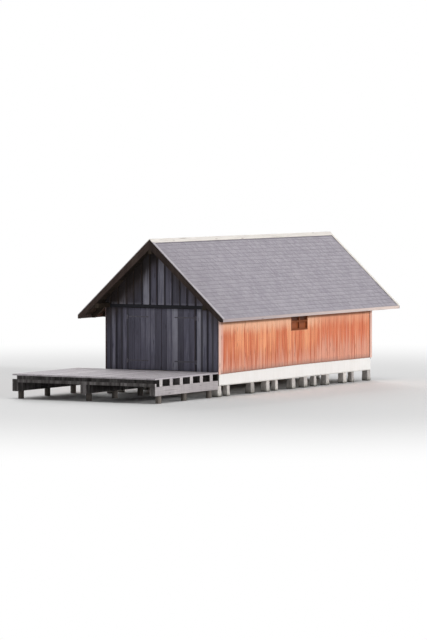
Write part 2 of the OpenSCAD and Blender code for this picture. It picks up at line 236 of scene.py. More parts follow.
def make_grain():
    """Fibres, knots and drying cracks. Place has the grain along its x, in metres."""
    m, given = new_tree(Maker, "Timber grain", place="Vector", size=1.0)
    place = m.add("ShaderNodeVectorMath", {0: given.place, "Scale": given.size}, operation="SCALE")
    bands = m.noise(m.scaled(place, (0.9, 16.0, 16.0)), detail=4.0, roughness=0.6, distortion=0.5)
    fibres = m.noise(m.scaled(place, (4.0, 120.0, 120.0)), roughness=0.7)
    cells = m.add("ShaderNodeTexVoronoi", {"Vector": m.scaled(place, (1.3, 6.0, 6.0)), "Scale": 1.0},
                  out="Distance")
    knots = m.fade(cells, 0.17, 0.07)
    splits = m.noise(m.scaled(place, (0.7, 46.0, 46.0)), detail=2.0, roughness=0.4)
    cracks = m.spread(splits, 0.66, 0.72)
    grain = m.spread(bands * 0.62 + fibres * 0.38, 0.32, 0.68)
    height = grain * 0.6 - cracks * 0.9 - knots * 0.3
    return close_tree(m, grain=grain, knots=knots, cracks=cracks, height=height)


def make_weather():
    """Large soft patches, upright streaks and small specks, over object coordinates."""
    m, given = new_tree(Maker, "Weather", place="Vector")
    patches = m.spread(m.noise(given.place, scale=0.8, detail=5.0, roughness=0.6), 0.35, 0.65)
    streaks = m.noise(m.scaled(given.place, (8.0, 8.0, 0.7)), detail=4.0, roughness=0.65)
    specks = m.noise(given.place, scale=55.0, detail=2.0)
    return close_tree(m, patches=patches, streaks=m.spread(streaks, 0.36, 0.66),
                      specks=m.spread(specks, 0.62, 0.7))


def make_ragged():
    """A band that fades between two heights, with a ragged edge."""
    m, given = new_tree(Maker, "Ragged band", place="Vector", full=0.0, none=1.0, ragged=0.1)
    z = m.parts(given.place)[2]
    wave = m.noise(m.scaled(given.place, (5.0, 5.0, 1.5)), detail=4.0, roughness=0.7) - 0.5
    shift = z + wave * given.ragged * 4.0
    return close_tree(m, band=m.fade(shift, given.full, given.none, 1.0, 0.0))


GRAIN = make_grain()
WEATHER = make_weather()
RAGGED = make_ragged()


class Finish(Maker):
    """A material with one Principled shader, whose colour is built up in coats."""

    def __init__(self, name, specular=0.25, metallic=0.0):
        self.material = bpy.data.materials.new(name)
        self.material.use_nodes = True
        super().__init__(self.material.node_tree)
        self.shader = self.tree.nodes["Principled BSDF"]
        self.shader.inputs["Specular IOR Level"].default_value = specular
        self.shader.inputs["Metallic"].default_value = metallic
        self.place = self.add("ShaderNodeTexCoord", out="Object")

    def attribute(self, name, out="Fac"):
        return self.add("ShaderNodeAttribute", out=out, attribute_name=name)

    def grain(self, size=1.0):
        inputs = {"Place": self.attribute("grain_at", "Vector"), "Size": size}
        return self.add("ShaderNodeGroup", inputs, ("Grain", "Knots", "Cracks", "Height"), node_tree=GRAIN)

    def weather(self):
        return self.add("ShaderNodeGroup", {"Place": self.place}, ("Patches", "Streaks", "Specks"),
                        node_tree=WEATHER)

    def band(self, full, none, ragged):
        inputs = {"Place": self.place, "Full": full, "None": none, "Ragged": ragged}
        return self.add("ShaderNodeGroup", inputs, "Band", node_tree=RAGGED)

    def ground(self, share, first, second):
        """The first coat, between two shades."""
        self.colour = self.blend(share, first, second)

    def lay(self, share, shade):
        """One more coat over the colour so far."""
        self.colour = self.blend(share, self.colour, shade)

    def bare_inside(self, grain):
        """Boards keep the brown of their bare wood on the side that never sees the weather."""
        self.lay(self.over(self.attribute("inside"), 0.5), self.blend(grain, "#5b432f", "#876a4d"))

    def end(self, roughness, height, depth=0.002):
        bump = self.add("ShaderNodeBump", {"Height": height, "Distance": depth})
        for name, value in (("Base Color", self.colour), ("Roughness", roughness), ("Normal", bump)):
            self.feed(self.shader.inputs[name], value)
        return self.material


# How thick the end grain of the corner is, and how far behind the boards a timber is out of the weather
END_GRAIN = 0.003
OUT_OF_WEATHER = 0.04


def timber(name, dark, middle, light, crack, worn_shade, share, dirt=0.3, inner=None, inner_share=0.85,
           far=None):
    """Plain weathered timber: each piece has its own tone, with grain, knots, cracks and grey patches.

    Inner is the colour of the faces that don't look out to the sides, and far a lighter one towards the back
    verge, painted light.
    """
    m = Finish(name)
    grain, knots, cracks, height = m.grain()
    patches, streaks, specks = m.weather()
    mix = m.attribute("tone") * 0.55 + grain * 0.45
    m.ground(m.spread(mix, 0.15, 0.5), dark, middle)
    m.lay(m.spread(mix, 0.5, 0.9), light)
    if far is not None:
        # Lighter towards the back: painted light
        m.lay(m.spread(m.parts(m.place)[1], FRONT_Y, BACK_Y) * 0.9, far)
    if inner is not None:
        # Faces that don't look out sideways take the inner colour: painted shade on the eave boards and deck
        # timbers
        m.colour = m.blend(m.attribute("outer"), m.blend(inner_share, m.colour, inner), m.colour)
    m.lay(patches * streaks * share, worn_shade)
    m.lay(m.high(knots * 0.6, cracks * 0.8), crack)
    m.lay(specks * dirt, crack)
    return m.end(m.spread(grain, 0.0, 1.0, 0.86, 0.72), height)


def make_side_boards():
    """Orange-brown wall boards: a painted shadow under the eave, then pale, redder low down, and bleached at
    the foot.
    """
    m = Finish("side_boards")
    grain, knots, cracks, height = m.grain()
    _, streaks, specks = m.weather()
    _, y, z = m.parts(m.place)
    rear = m.fade(y, FRONT_Y + HOUSE_L * 0.58, FRONT_Y + HOUSE_L * 0.68)
    front = m.fade(y, FRONT_Y + HOUSE_L * 0.12, FRONT_Y)
    above_foot = z - m.low(FOOT_BACK, (y - FRONT_Y) * FOOT_RISE + FOOT_FRONT)
    mix = m.attribute("tone") * 0.5 + grain * 0.2 + streaks * 0.3
    m.ground(m.spread(mix, 0.2, 0.8), "#d4704d", "#fdb083")
    m.lay(rear * 0.55, "#dd7553")
    m.lay(front * 0.5, "#cf6d4c")
    pale = m.fade(z + streaks * 0.25, EAVE_Z - 0.5, EAVE_Z - 0.05) * (1.0 - rear * 0.5)
    m.lay(pale * 0.85, "#fec8a6")
    red = m.fade(above_foot + streaks * 0.5, 1.2, 0.5) * (1.0 - rear)
    m.lay(red * 0.55, "#cb6a4a")
    fine = m.noise(m.scaled(m.place, (16.0, 16.0, 0.25)), detail=5.0, roughness=0.62)
    bleached = m.spread((fine - 0.36) * 3.8 + rear * 0.35 - above_foot, 0.0, 0.35)
    m.lay(bleached * 0.66, "#e6b09b")
    damp = m.spread(fine, 0.5, 0.38) * m.fade(above_foot, 1.15, 0.35)
    m.lay(damp * 0.6, "#b3583b")
    corner = m.spread(y + streaks * 0.06, FRONT_Y + 0.42, FRONT_Y + 0.3)
    m.lay(corner * 0.7, "#efc4b6")
    foot = m.fade(above_foot + streaks * 0.08, 0.26, 0.02)
    m.lay(foot * 0.62, "#987a72")
    # Dark brown along the top of the wall is painted shadow of the eave; the same colour also draws a dark line
    # along the foot
    edge = m.high(m.spread(above_foot, 0.05, 0.01), m.spread(z, EAVE_Z - 0.17, EAVE_Z - 0.1))
    m.lay(edge * 0.55, "#75452f")
    m.lay(m.high(knots * 0.45, cracks * 0.55), "#8a4c31")
    m.lay(specks * 0.15, "#8a553c")
    m.lay(m.high(m.over(FRONT_Y + END_GRAIN, y), m.over(y, BACK_Y - END_GRAIN)), "#66646f")
    m.bare_inside(grain)
    return m.end(m.spread(grain, 0.0, 1.0, 0.82, 0.66), height, 0.0025)


def make_gable_boards():
    """Grey boards that never see the sun: pale and dark ones side by side, with painted shade close under the
    roof.
    """
    m = Finish("gable_boards")
    under = m.attribute("kind")
    grain, knots, cracks, height = m.grain()
    patches, streaks, specks = m.weather()
    x, _, z = m.parts(m.place)
    mix = m.attribute("tone") * 0.7 + grain * 0.12 + streaks * 0.18
    m.ground(m.spread(mix, 0.15, 0.55), "#44434e", "#747384")
    m.lay(m.spread(mix, 0.55, 0.85), "#b0b0be")
    m.lay(patches * 0.25, "#6a676e")
    # The boards set back behind their neighbours are darker: painted shade of the recess, partly their less
    # weathered wood
    m.lay(under * 0.8, "#2c2b33")
    below_roof = UNDER_ROOF - SLOPE * abs(x - MID_X) - z
    # Painted shade of the roof's overhang: brown-dark in a wide band under the roof
    m.lay(m.fade(below_roof + streaks * 0.25, 1.45, 0.35) * 0.8, "#40362f")
    # Browner on the upper left: painted shade under the left verge, partly a brown tone of the boards
    brown = m.fade(x - MID_X + streaks * 0.2, HALF_W * -0.25, HALF_W * -0.75) * m.over(z, LINE_Z)
    m.lay(brown * 0.5, "#4a403c")
    # Painted shade, near black, right under the roof
    close = m.fade(below_roof + streaks * 0.15, 0.75, 0.4)
    m.lay(close * 0.65, "#1f1a18")
    # Painted shadow of the upper boards' overhang, just under the line where they start
    painted_shadow_under_line = m.spread(z + streaks * 0.03, LINE_Z - 0.22, LINE_Z - 0.12) * m.over(LINE_Z, z)
    m.lay(painted_shadow_under_line * 0.4, "#1f1e23")
    # Painted highlight along the lower edge of the upper boards
    lip_highlight = m.spread(z, LINE_Z + 0.1, LINE_Z + 0.02) * m.over(z, LINE_Z - 0.005)
    m.lay(lip_highlight * (1.0 - under) * 0.2, "#a9a7b4")
    m.lay(m.band(FOOT_FRONT, FOOT_FRONT + 0.25, 0.06) * 0.4, "#3a3a42")
    m.lay(m.high(knots * 0.45, cracks * 0.8), "#26252c")
    m.lay(specks * 0.15, "#2d2c33")
    m.bare_inside(grain)
    return m.end(m.spread(grain, 0.0, 1.0, 0.88, 0.74), height, 0.0025)


def make_shingles():
    """Silver-grey split shingles, almost even in tone, with painted shade close under the ridge cap, and darker
    over the deck.
    """
    m = Finish("roof")
    grain, _, cracks, height = m.grain(1.6)
    patches, _, specks = m.weather()
    mix = m.attribute("tone") * 0.55 + grain * 0.25 + patches * 0.2
    m.ground(m.spread(mix, 0.1, 0.9), "#9c97a0", "#b3aeb6")
    m.lay(m.attribute("edge") * 0.16, "#8b858e")
    m.lay(cracks * 0.2, "#7f7a82")
    m.lay(specks * patches * 0.2, "#a7a48d")
    _, y, z = m.parts(m.place)
    m.lay(m.fade(y, FRONT_Y + HOUSE_L * 0.3, ROOF[0].y) * 0.3, "#8f8a91")
    # Painted shade along the lower edge of the ridge cap
    cap_edge = APEX_Z - CAP_W * math.sin(PITCH)
    m.lay(m.spread(z, cap_edge - 0.05, cap_edge - 0.015) * 0.6, "#57525a")
    return m.end(m.spread(grain, 0.0, 1.0, 0.85, 0.7), height, 0.0015)


def make_plinth():
    """White painted plinth: faint brushed unevenness, grey drips from above, a green-grey lower edge.

    The end under the deck is near black, painted shade. Inside the walls the timber is bare and brown.
    """
    m = Finish("plinth", specular=0.3)
    patches, streaks, specks = m.weather()
    m.ground(patches * 0.5, "#faf9f7", "#f2efeb")
    m.lay(streaks * 0.08, "#bdb4aa")
    m.lay(m.band(PLINTH_LOW - 0.01, PLINTH_LOW + 0.07, 0.015) * 0.5, "#a3a096")
    m.lay(specks * 0.18, "#b7afa5")
    x, y, _ = m.parts(m.place)
    off_middle = abs(x - MID_X)
    inside = m.over(HALF_W - OUT_OF_WEATHER, off_middle) * m.over(BACK_Y - OUT_OF_WEATHER, y)
    m.lay(inside, m.blend(patches, "#5a4636", "#43362b"))
    # Near black on the end under the deck: painted shade
    shade_under_deck = m.over(FRONT_Y + 0.1, y) * m.over(HALF_W - 0.02, off_middle)
    m.lay(shade_under_deck * (0.9 + patches * 0.08), "#2b2a27")
    pits = m.noise(m.place, scale=38.0, detail=4.0, roughness=0.6)
    return m.end(m.spread(pits, 0.3, 0.7, 0.62, 0.82), pits, 0.004)


def make_pier():
    """Rough pale stone: grey and buff patches, dark and green towards the water."""
    m = Finish("pier", specular=0.3)
    stones = m.noise(m.place, scale=6.0, detail=6.0, roughness=0.65)
    mix = stones * 0.6 + m.attribute("tone") * 0.4
    m.ground(m.spread(mix, 0.25, 0.7), "#a29d9a", "#e0dbd6")
    m.lay(m.band(0.02, 0.18, 0.05) * 0.5, "#77766a")
    m.lay(m.band(0.0, 0.08, 0.03) * 0.8, "#3c3c34")
    m.lay(m.weather()[2] * 0.3, "#77736d")
    grit = m.noise(m.place, scale=70.0, detail=5.0, roughness=0.7)
    return m.end(m.spread(grit, 0.3, 0.7, 0.75, 0.95), stones * 0.5 + grit * 0.5, 0.008)


def make_iron():
    """Dark forged iron with rust in patches."""
    m = Finish("iron", specular=0.4, metallic=0.3)
    rust = m.spread(m.noise(m.place, scale=30.0, detail=5.0, roughness=0.7), 0.5, 0.72)
    m.ground(rust * 0.7, "#5d5c66", "#625049")
    grit = m.noise(m.place, scale=220.0)
    return m.end(m.spread(rust, 0.0, 1.0, 0.42, 0.85), grit * 0.4 + rust * 0.6, 0.001)


def make_glass():
    """Old window glass: dark above with painted shade from the eave, and a painted warm brown reflection in its
    lower half, with dust.
    """
    m = Finish("window_glass", specular=0.08)
    dust = m.spread(m.noise(m.place, detail=5.0, scale=3.0, roughness=0.6), 0.35, 0.75)
    middle = (WINDOW[0].z + WINDOW[1].z) / 2
    # Painted shade of the eave above, and a painted brown reflection below
    lower = m.fade(m.parts(m.place)[2] + dust * 0.08, middle + 0.08, middle - 0.12)
    m.ground(lower * 0.9, "#5c2c14", "#a2562f")
    m.lay(dust * 0.25, "#86553f")
    waves = m.noise(m.place, scale=5.0, detail=1.0)
    return m.end(m.spread(dust, 0.0, 1.0, 0.25, 0.5), waves, 0.002)


FINISHES = {"side_boards": make_side_boards(), "gable_boards": make_gable_boards(), "roof": make_shingles(),
            "plinth": make_plinth(), "pier": make_pier(), "iron": make_iron(), "window_glass": make_glass()}

# The plain timbers: dark, middle and light tone, the shades of cracks and of worn places, and how worn they are
for name, shades, share, more in (
        ("corner_board", "#dba795 #ecbfae #f6d2c4 #9a6f5e #e6d2cb", 0.3, {"inner": "#6b6976"}),
        ("roof_trim", "#ddd6cf #efeae4 #f8f5f1 #a09892 #cfc8c2", 0.15, {"dirt": 0.15}),
        # Verge strips and eave boards: far is lighter towards the back, painted light
        ("verge_strip", "#a5a0a7 #b6b1b8 #c6c1c5 #6f6a6e #a5a19f", 0.2, {"dirt": 0.2, "far": "#f4efe6"}),
        # The eave boards' faces other than the outer one are dark brown: painted shade
        ("eave_trim", "#a89da0 #b9adae #c9bcbb #7d6e69 #a79e9a", 0.25,
         {"dirt": 0.2, "inner": "#40362f", "far": "#e2cfc6"}),
        ("verge_wood", "#2a201d #3b2e29 #503f37 #14100d #665850", 0.4, {}),
        ("deck_wood", "#a8a1a6 #bbb5ba #ccc6c9 #5e5958 #d3cdd0", 0.3, {"dirt": 0.2}),
        # Deck beams and joists: all but their outward side faces are near black, painted shade under the deck
        ("deck_beam", "#a39d9f #bab4b5 #cdc8c7 #5c5654 #e2dcdc", 0.3,
         {"inner": "#26221f", "inner_share": 0.95}),
        ("deck_post", "#4e4844 #69625d #857d77 #2a2623 #8f8882", 0.35, {}),
        ("frame_timber", "#4a3628 #6e523b #8d6f52 #2a1c13 #75695e", 0.3, {}),
        ("soffit", "#231d17 #342b22 #483c30 #120e0a #4a433a", 0.25, {}),
        ("floor_wood", "#7b6249 #9a7f62 #b59a7b #4a3625 #8f8b88", 0.35, {}),
        ("window_wood", "#5a2e18 #834728 #a8643f #2c150b #a37258", 0.2, {}),
        # The head board is near black: painted shade of the line under the upper gable boards
        ("head_wood", "#17161a #202025 #2b2b31 #0d0c0f #34343a", 0.2, {})):
    FINISHES[name] = timber(name, *shades.split(), share, **more)


# Geometry Nodes: rows of boards, courses of shingles and rows of bolt heads


class Shape(Maker):
    """Adds what only a geometry tree has."""

    kind, result = "GeometryNodeTree", "Geometry"

    def at(self):
        """Where each point is: its x, y and z."""
        return self.parts(self.add("GeometryNodeInputPosition"))

    def stored(self, *names):
        kind = "GeometryNodeInputNamedAttribute"
        return [self.add(kind, {"Name": name}, data_type="FLOAT") for name in names]

    def store(self, geometry, data_type="FLOAT", **values):
        """Stores each value on the points, under its own name."""
        for name, value in values.items():
            inputs = {"Geometry": geometry, "Name": name, "Value": value}
            geometry = self.add("GeometryNodeStoreNamedAttribute", inputs, data_type=data_type, domain="POINT")
        return geometry

    def chance(self, low, high, number, seed):
        inputs = {"Min": low, "Max": high, "ID": number, "Seed": seed}
        return self.add("FunctionNodeRandomValue", inputs, data_type="FLOAT")

    def fitted(self, given, number, raw, amount, steps, group=0, **more):
        """Points for pieces side by side, their raw widths fitted to the length of each group.

        Each stores a tone and a luck, whose seeds are these steps after the run's own.
        """
        before, total = self.add("GeometryNodeAccumulateField", {"Value": raw, "Group ID": group},
                                 ("Trailing", "Total"), data_type="FLOAT")
        fit = given.length / total
        points = self.add("GeometryNodeMeshLine", {"Count": amount, "Offset": (0.0, 0.0, 0.0)})
        tone, luck = (self.chance(0.0, 1.0, number, given.seed + step) for step in steps)
        return self.store(points, wide=raw * fit, mid=(before + raw * 0.5) * fit, **more, tone=tone, luck=luck)

    def cube(self, x, y, z):
        return self.add("GeometryNodeMeshCube", {"Vertices X": x, "Vertices Y": y, "Vertices Z": z})

    def realized(self, geometry):
        return self.add("GeometryNodeRealizeInstances", {"Geometry": geometry})

    def copies(self, points, instance):
        """A copy on each point, as plain mesh."""
        return self.realized(self.add("GeometryNodeInstanceOnPoints", {"Points": points, "Instance": instance}))

    def placed(self, geometry, position):
        return self.add("GeometryNodeSetPosition", {"Geometry": geometry, "Position": position})

    def forwards(self, head):
        """A head made upright, turned to stand out towards -y."""
        return self.add("GeometryNodeTransform", {"Geometry": head, "Rotation": (math.pi / 2, 0.0, 0.0)})

    def finished(self, geometry, material, where=True):
        inputs = {"Geometry": geometry, "Material": material, "Selection": where}
        return self.add("GeometryNodeSetMaterial", inputs)

    def joined(self, *parts):
        node = self.tree.nodes.new("GeometryNodeJoinGeometry")
        for part in reversed(parts):
            self.tree.links.new(part.socket, node.inputs[0])
        return Value(self, node.outputs[0])


NO_LIMIT = 99.0
# A board bends over this many rows of corners. Across, its worn edges start outside this share of its width
BOARD_PARTS = 7
EDGE_SHARE = 0.3
NAIL_R = 0.005
# A nail's distance from the middle of its board, as a share of the width, how far it strays from its row, and
# how near to the top and foot of the board it may be
NAIL_OUT, NAIL_STRAY = 0.28, 0.03
NAIL_TOP, NAIL_FOOT = 0.05, 0.03


def make_board_run():
    """A run of boards along x, upright in z, with their faces towards -y.

    Lapped runs have every second board behind its neighbours, and one at an end of the run passes that end
    by the lap, but no further than the reach there. The foot rises along the run up to a limit, and the top
    follows two slopes down from a middle.
    """
    m, given = new_tree(
        Shape, "Board run", length=4.0, narrow=0.15, wide=0.2, under_share=0.6, lap=0.0, gap=0.004,
        thickness=0.025, cover=0.013, foot=0.0, foot_rise=0.0, foot_limit=NO_LIMIT, top=3.0, ridge=NO_LIMIT,
        slope=0.0, middle=0.0, chamfer=0.002, uneven=0.003, warp=0.002, first_reach=1.0, last_reach=1.0,
        nail_low=1.0, nail_step=1.0, boards=20, first_under=0, nail_rows=0, seed=1, wood="Material",
        iron="Material")

    def foot_at(x):
        return m.low(given.foot_limit, given.foot + given.foot_rise * x)

    def top_at(x):
        return m.low(given.top, given.ridge - given.slope * abs(x - given.middle))

    lapped = m.over(given.lap, 0.0)
    number = m.add("GeometryNodeInputIndex")
    under = m.math("MODULO", number + given.first_under, 2.0) * lapped
    narrower = 1.0 + under * (given.under_share - 1.0)
    raw = m.chance(given.narrow, given.wide, number, given.seed) * narrower
    points = m.fitted(given, number, raw, given.boards, (7.0, 19.0), kind=under)
    wide, mid, kind, tone, luck = m.stored("wide", "mid", "kind", "tone", "luck")

    boards = m.copies(points, m.cube(4, 2, BOARD_PARTS))
    unit_x, unit_y, unit_z = m.at()
    side = m.math("SIGN", unit_x)
    outer = m.over(abs(unit_x), EDGE_SHARE)
    front = m.over(0.0, unit_y)
    half = wide * 0.5 - given.gap * 0.5 + kind * (given.lap + given.gap * 0.5)
    reached = m.high(given.first_reach * -1.0, mid + side * half)
    x = m.low(given.length + given.last_reach, reached) - side * (1.0 - outer) * given.chamfer
    foot = foot_at(x) + luck * given.uneven * front
    z = foot + (unit_z + 0.5) * (top_at(x) - foot)
    face = kind * given.cover + luck * given.uneven * 0.4
    back = given.thickness - lapped * (1.0 - kind) * (given.thickness - given.cover)
    bend = (m.noise(m.vector(mid * 3.1, tone * 9.0, z * 0.8), detail=1.0) - 0.5) * given.warp * 2.0
    y = front * (face + outer * given.chamfer) + (1.0 - front) * back + m.high(bend, 0.0)
    boards = m.placed(m.store(boards, edge=outer * front, inside=1.0 - front), m.vector(x, y, z))
    at_x, at_y, at_z = m.at()
    boards = m.store(boards, "FLOAT_VECTOR",
                     grain_at=m.vector(at_z + tone * 37.0, at_x - mid + luck * 11.0, at_y))

    inputs = {"Geometry": points, "Amount": given.nail_rows * 2.0}
    doubled, copy = m.add("GeometryNodeDuplicateElements", inputs, ("Geometry", "Duplicate Index"),
                          domain="POINT")
    nail_x = mid + (m.math("MODULO", copy, 2.0) * 2.0 - 1.0) * wide * NAIL_OUT
    nail_z = given.nail_low + m.math("FLOOR", copy * 0.5) * given.nail_step + (tone - 0.5) * NAIL_STRAY
    heads = m.placed(doubled, m.vector(nail_x, luck * given.uneven * 0.4, nail_z))
    head_x, _, head_z = m.at()
    off = m.high(m.over(head_z + NAIL_TOP, top_at(head_x)), m.over(foot_at(head_x) + NAIL_FOOT, head_z))
    heads = m.add("GeometryNodeDeleteGeometry", {"Geometry": heads, "Selection": m.high(off, kind)},
                  domain="POINT")
    head = m.forwards(m.add("GeometryNodeMeshCylinder", {"Vertices": 6, "Radius": NAIL_R, "Depth": NAIL_R}))
    heads = m.store(m.copies(heads, head), nail=1.0)
    whole = m.finished(m.realized(m.joined(boards, heads)), given.wood)
    nail, = m.stored("nail")
    return close_tree(m, geometry=m.finished(whole, given.iron, m.over(nail, 0.5)))


def make_courses():
    """Courses of shingles: x along the course, y up the slope, z out of the roof."""
    m, given = new_tree(
        Shape, "Shingle courses", length=12.0, rise=4.0, course=0.18, narrow=0.09, wide=0.15, butt=0.014,
        gap=0.004, uneven=0.008, rows=22, in_a_row=100, seed=1, shingle="Material")
    number = m.add("GeometryNodeInputIndex")
    row = m.math("FLOOR", (number + 0.5) / given.in_a_row)
    raw = m.chance(given.narrow, given.wide, number, given.seed)
    points = m.fitted(given, number, raw, given.rows * given.in_a_row, (5.0, 23.0), row, row=row)
    wide, mid, row, tone, luck = m.stored("wide", "mid", "row", "tone", "luck")

    shingles = m.copies(points, m.cube(2, 3, 2))
    unit_x, unit_y, unit_z = m.at()
    up = unit_y + 0.5
    lower = row * given.course + (luck - 0.5) * given.uneven
    x = mid + unit_x * (wide - given.gap)
    y = m.low(m.high(lower + up * given.course * 1.25, 0.0), given.rise)
    top = given.butt * (1.0 - up * 0.75) * (0.75 + tone * 0.25)
    z = m.over(unit_z, 0.0) * top
    shingles = m.placed(m.store(shingles, edge=m.over(0.1, up)), m.vector(x, y, z))
    at_x, at_y, at_z = m.at()
    shingles = m.store(shingles, "FLOAT_VECTOR",
                       grain_at=m.vector(at_y + tone * 31.0, at_x + luck * 7.0, at_z))
    return close_tree(m, geometry=m.finished(m.realized(shingles), given.shingle))


def make_bolt_heads():
    """Domed bolt heads on the points of a mesh, standing out towards -y."""
    m, given = new_tree(Shape, "Bolt heads", geometry="Geometry", radius=0.012, height=0.006, iron="Material")
    inputs = {"Vertices": 10, "Radius Top": given.radius * 0.55, "Radius Bottom": given.radius,
              "Depth": given.height}
    head = m.forwards(m.add("GeometryNodeMeshCone", inputs))
    return close_tree(m, geometry=m.finished(m.copies(given.geometry, head), given.iron))


BOARD_RUN = make_board_run()
COURSES = make_courses()
BOLT_HEADS = make_bolt_heads()
KEPT_ATTRIBUTES = {"position", "tone", "kind", "edge", "inside", "grain_at", "sharp_face", "material_index"}


def linked(name, data):
    """A new object in the scene."""
    made = bpy.data.objects.new(name, data)
    bpy.context.scene.collection.objects.link(made)
    return made


def grown(tree, start=None, **settings):
    """The plain mesh that a geometry tree makes with these settings."""
    carrier = linked("carrier", start or bpy.data.meshes.new("carrier"))
    modifier = carrier.modifiers.new("shape", "NODES")
    modifier.node_group = tree
    names = {item.name: item.identifier for item in tree.interface.items_tree
             if item.item_type == "SOCKET" and item.in_out == "INPUT"}
    for name, value in settings.items():
        modifier[names[titled(name)]] = value
    bpy.context.view_layer.update()
    depsgraph = bpy.context.evaluated_depsgraph_get()
    mesh = bpy.data.meshes.new_from_object(carrier.evaluated_get(depsgraph), preserve_all_data_layers=True,
                                           depsgraph=depsgraph)
    carrier.modifiers.remove(modifier)
    bpy.data.objects.remove(carrier)
    for name in [a.name for a in mesh.attributes if a.name not in KEPT_ATTRIBUTES and "." not in a.name]:
        mesh.attributes.remove(mesh.attributes[name])
    return mesh


def turned(x_axis, y_axis, z_axis, origin):
    """The matrix that carries a run's own axes and start to their place."""
    matrix = Matrix((x_axis, y_axis, z_axis)).transposed().to_4x4()
    matrix.translation = origin
    return matrix


def board_run(matrix, span, heights, widths, wood, seed, **more):
    """One run of boards in its place, as a mesh: its start and end, and the heights of its foot and top."""
    start, end = span
    mean = sum(widths) / 2
    if "lap" in more:
        mean *= (1 + more["under_share"]) / 2
    boards = max(1, round((end - start) / mean))
    if "lap" in more and boards % 2 == 0:
        boards += 1
    mesh = grown(BOARD_RUN, length=end - start, foot=heights[0], top=heights[1], narrow=widths[0],
                 wide=widths[1], boards=boards, seed=seed, wood=FINISHES[wood], iron=FINISHES["iron"], **more)
    mesh.transform(matrix @ Matrix.Translation((start, 0, 0)))
    return mesh


def piece(name, meshes, slot, replaced=None, body="building"):
    """One object of the finished meshes, which rides on a body and may stand for a CAD node."""
    whole = bmesh.new()
    materials = []
    for mesh in meshes:
        materials += [finish for finish in mesh.materials if finish not in materials]
        places = [materials.index(finish) for finish in mesh.materials]
        first = len(whole.faces)
        whole.from_mesh(mesh)
        whole.faces.ensure_lookup_table()
        for face in whole.faces[first:]:
            face.material_index = places[face.material_index]
        bpy.data.meshes.remove(mesh)
    joined = bpy.data.meshes.new(name)
    whole.to_mesh(joined)
    whole.free()
    for material in materials:
        joined.materials.append(material)
    made = linked(name, joined)
    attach(made, body)
    if replaced:
        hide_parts(replaced)


# Boarded walls

X_AXIS, Y_AXIS, Z_AXIS = Vector((1, 0, 0)), Vector((0, 1, 0)), Vector((0, 0, 1))
LAP = 0.02
# The narrowest and widest boards of each place
SIDE_WIDTHS = (0.12, 0.25)
UPPER_WIDTHS = (0.21, 0.28)
LOWER_WIDTHS = (0.14, 0.18)
DOOR_WIDTHS = (0.2, 0.28)
DECK_WIDTHS = (0.17, 0.23)
FLOOR_WIDTHS = (0.15, 0.21)
SOFFIT_WIDTHS = (0.15, 0.2)
DOOR_CLEAR = 0.008


def lap_shape(under_share, thickness, cover, **more):
    """The settings of lapped boards: how wide those behind are, and how much of the thickness is in front."""
    return dict(lap=LAP, under_share=under_share, thickness=thickness, cover=thickness * cover, gap=0.0,
                nail_rows=3, **more)


def side_wall(matrix, forwards, seed):
    """A side wall in four runs: before, under, over and past the window."""
    shape = lap_shape(0.55, WALL_T, 0.22, nail_low=1.0, nail_step=0.92)
    if forwards:
        near, far, rise = WINDOW[0].y - FRONT_Y, WINDOW[1].y - FRONT_Y, FOOT_RISE
    else:
        near, far, rise = BACK_Y - WINDOW[1].y, BACK_Y - WINDOW[0].y, -FOOT_RISE
    runs = [(0.0, near, None, WALL_TOP), (near, far, None, WINDOW[0].z),
            (near, far, WINDOW[1].z, WALL_TOP), (far, HOUSE_L, None, WALL_TOP)]
    meshes = []
    for i, (start, end, foot, top) in enumerate(runs):
        on_plinth = {}
        if foot is None:
            foot = FOOT_FRONT + FOOT_RISE * (start if forwards else HOUSE_L - start)
            on_plinth = {"foot_rise": rise, "foot_limit": FOOT_BACK}
        meshes.append(board_run(matrix, (start, end), (foot, top), SIDE_WIDTHS, "side_boards", seed + i * 11,
                                **on_plinth, **shape))
    return meshes


def build_side_walls():
    right = turned(Y_AXIS, -X_AXIS, Z_AXIS, (RIGHT_WALL[1].x, FRONT_Y, 0))
    left = turned(-Y_AXIS, X_AXIS, Z_AXIS, (LEFT_WALL[0].x, BACK_Y, 0))
    piece("right_wall_boards", side_wall(right, True, 24), "side_boards", "right_wall")
    piece("left_wall_boards", side_wall(left, False, 53), "side_boards", "left_wall")


def gable_runs(matrix, seed):
    """The upper boards of a gable, which start over the plates at both sides. Their x is across the gable."""
    proud = matrix @ Matrix.Translation((0, -GABLE_PROUD, 0))
    shape = lap_shape(0.34, GABLE_T, 0.42, ridge=UNDER_ROOF, slope=SLOPE, uneven=0.004,
                      nail_low=LINE_Z + 0.12, nail_step=0.95)
    runs = [(-HALF_W, -FRAME_IN, PLATE_TOP), (-FRAME_IN, FRAME_IN, LINE_Z), (FRAME_IN, HALF_W, PLATE_TOP)]
    return [board_run(proud, (start, end), (foot, NO_LIMIT), UPPER_WIDTHS, "gable_boards", seed + i * 13,
                      first_under=int(foot == LINE_Z), middle=-start, **shape)
            for i, (start, end, foot) in enumerate(runs)]


def lower_runs(matrix, spans, foot, seed):
    """Lower gable boards over the given spans. Those under a plate end below it, and none reaches into a
    doorway, whose leaves hang there."""
    shape = lap_shape(0.6, WALL_T, 0.5, nail_low=foot + 0.2, nail_step=1.0)
    meshes = []
    for i, span in enumerate(spans):
        under_plate = abs(sum(span)) / 2 > FRAME_IN
        first, last = (0.0 if abs(x) < FRAME_IN else LAP for x in span)
        meshes.append(board_run(matrix, span, (foot, PLATE_LOW if under_plate else LINE_Z), LOWER_WIDTHS,
                                "gable_boards", seed + i * 17, first_under=int(not under_plate),
                                first_reach=first, last_reach=last, **shape))
    return meshes


